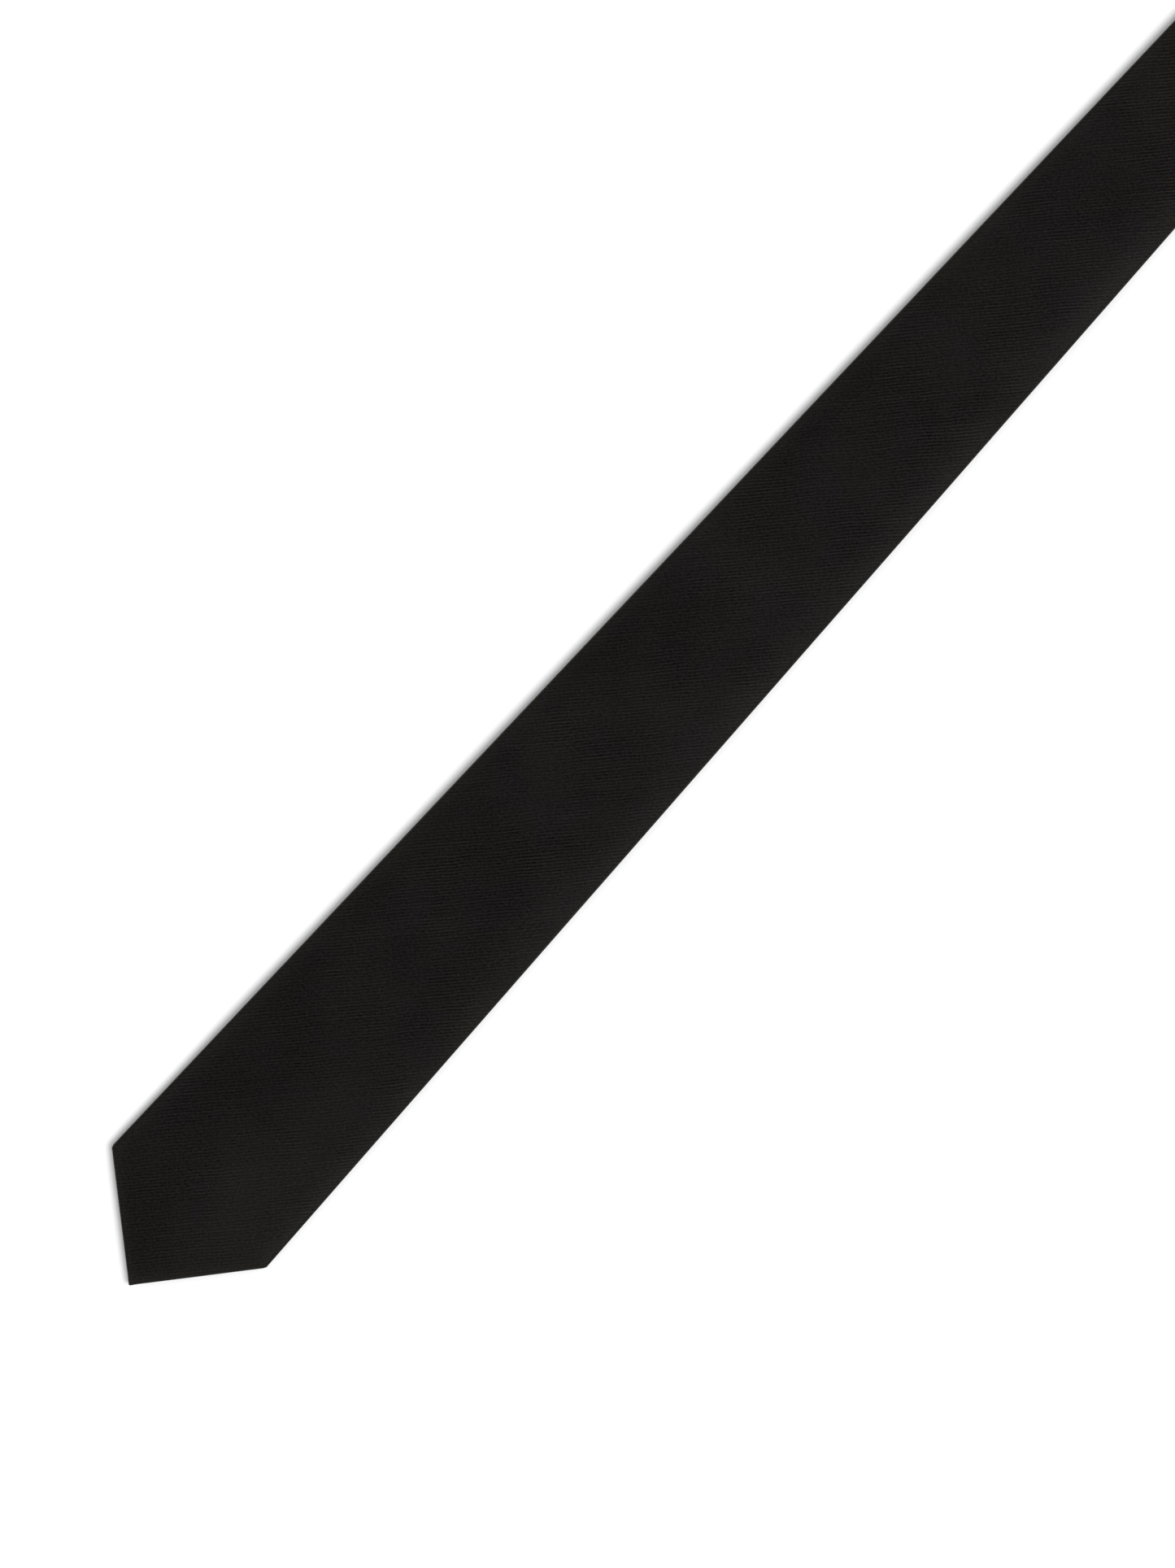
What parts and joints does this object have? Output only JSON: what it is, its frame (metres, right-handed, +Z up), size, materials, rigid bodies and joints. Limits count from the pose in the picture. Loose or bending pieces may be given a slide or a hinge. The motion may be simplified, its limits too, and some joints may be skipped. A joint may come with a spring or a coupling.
{
  "type": "necktie",
  "caption": "Slim pointed necktie folded once at the neck, its tail held by a keeper loop behind the blade.",
  "frame": {"origin": "centre of the bounding box's underside: midway between the blade's tip and the neck fold, on the table", "axes": "+Y along the tie from the blade's tip to the neck fold, +X across the blade, +Z up out of the blade's front face"},
  "size_m": [0.065, 0.7962, 0.0148],
  "materials": {
    "silk": "black ribbed silk, soft sheen",
    "lining": "smooth black satin lining",
    "interlining": "brushed natural wool",
    "thread": "black sewing thread",
    "label_satin": "charcoal woven satin, blank",
    "care_satin": "off-white satin, blank"
  },
  "bodies": {
    "blade": {"blade_shell": "silk", "blade_interlining": "interlining", "blade_slip_stitch": "thread", "blade_seam_thread": "thread", "keeper_loop": "silk", "keeper_tack_left": "thread", "keeper_tack_right": "thread", "maker_label": "label_satin", "maker_label_thread": "thread", "care_label": "care_satin", "care_label_tack": "thread"},
    "blade_tip": {"blade_tip_shell": "silk", "blade_tip_interlining": "interlining", "blade_tipping": "lining", "blade_hem_thread": "thread", "blade_bar_tack": "thread"},
    "neck": {"neck_shell": "silk", "neck_interlining": "interlining", "neck_slip_stitch": "thread"},
    "tail": {"tail_shell": "silk", "tail_interlining": "interlining", "tail_tipping": "lining", "tail_hem_thread": "thread", "tail_bar_tack": "thread", "tail_slip_stitch": "thread", "tail_seam_thread": "thread"}
  },
  "joints": [
    {"name": "tip_fold", "type": "hinge", "parent": "blade", "child": "blade_tip", "pos_m": [0, -0.2793, 0.0077], "axis": [-1, 0, 0], "range_deg": [0, 179]},
    {"name": "neck_shift", "type": "slide", "parent": "blade", "child": "neck", "axis": [0, 1, 0], "range_m": [-0.01, 0.015], "deforming": ["neck_shell", "neck_interlining", "neck_slip_stitch"]},
    {"name": "tail_slide", "type": "slide", "parent": "neck", "child": "tail", "axis": [0, 1, 0], "range_m": [-0.01, 0.015]}
  ],
  "couplings": [
    {"joint": "tail_slide", "follows": "neck_shift", "ratio": 1}
  ]
}
